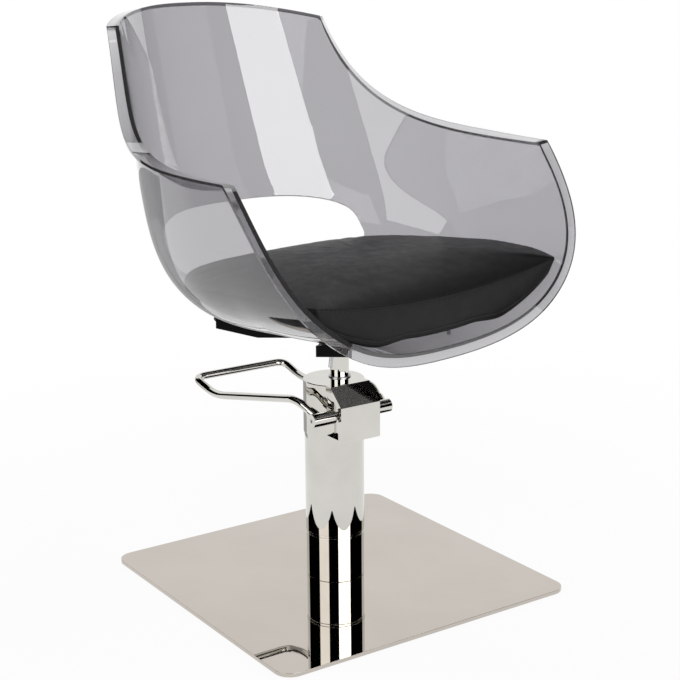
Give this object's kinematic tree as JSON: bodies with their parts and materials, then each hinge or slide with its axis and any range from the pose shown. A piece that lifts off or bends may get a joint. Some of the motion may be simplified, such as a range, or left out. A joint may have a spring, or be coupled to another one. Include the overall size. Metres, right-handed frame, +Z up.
{
  "type": "hairdressing chair",
  "caption": "Clear tub seat with an open back and a loose cushion, turning on a foot-pumped hydraulic lift with a bent rod lever and a square plate base.",
  "frame": {"origin": "middle of the square base on the floor", "axes": "+Z up, +X to the sitter's left as the pump stands, -Y the way the pump's hood faces; the foot lever stands out towards +Y and the seat rests turned 8 degrees about +Z"},
  "size_m": [0.6339, 0.6233, 0.8518],
  "materials": {
    "polished_steel": "mirror polished",
    "steel": "plain steel",
    "cast_iron": "plain casting",
    "aluminium": "turned",
    "black_paint": "satin black",
    "rubber": "matt black",
    "bronze": "plain bearing bronze",
    "clear_shell": "clear, smoke grey, glossy",
    "upholstery": "fine grained, satin black"
  },
  "bodies": {
    "base": {"base_cover": "polished_steel", "base_weight": "steel", "floor_pad": "rubber", "base_screws": "steel", "pump_foot": "cast_iron", "lower_collar": "polished_steel", "column_ring": "rubber", "column_tube": "polished_steel", "pump_cylinder": "steel", "plunger_barrel": "steel", "pump_head": "polished_steel", "guide_bush": "bronze", "rod_gland": "rubber", "plunger_spring": "steel"},
    "lever": {"lever_shaft": "steel", "lever_cam": "steel", "lever_hubs": "polished_steel", "hub_screws": "steel", "foot_lever": "polished_steel"},
    "pump_plunger": {"plunger": "steel"},
    "lift": {"piston": "aluminium", "piston_seal": "rubber", "thrust_washer": "bronze"},
    "seat": {"piston_rod": "polished_steel", "seat_bracket": "black_paint", "bracket_pads": "rubber", "seat_bolts": "steel", "bolt_washers": "steel", "shell": "clear_shell", "cushion": "upholstery"}
  },
  "joints": [
    {"name": "pedal_hinge", "type": "hinge", "parent": "base", "child": "lever", "pos_m": [0, -0.053, 0.275], "axis": [-1, 0, 0], "range_deg": [0, 20], "stiffness_Nm_per_rad": 8, "springref_deg": -25.78},
    {"name": "plunger_slide", "type": "slide", "parent": "base", "child": "pump_plunger", "axis": [0, 0, -1], "range_m": [0, 0.0077], "deforming": ["plunger_spring"]},
    {"name": "lift_slide", "type": "slide", "parent": "base", "child": "lift", "axis": [0, 0, 1], "range_m": [0, 0.15]},
    {"name": "seat_turn", "type": "hinge", "parent": "lift", "child": "seat", "pos_m": [0.012, 0.002, 0.35], "axis": [0, 0, 1], "continuous": true}
  ],
  "couplings": [
    {"joint": "plunger_slide", "follows": "pedal_hinge", "m_per_rad": 0.0219}
  ]
}
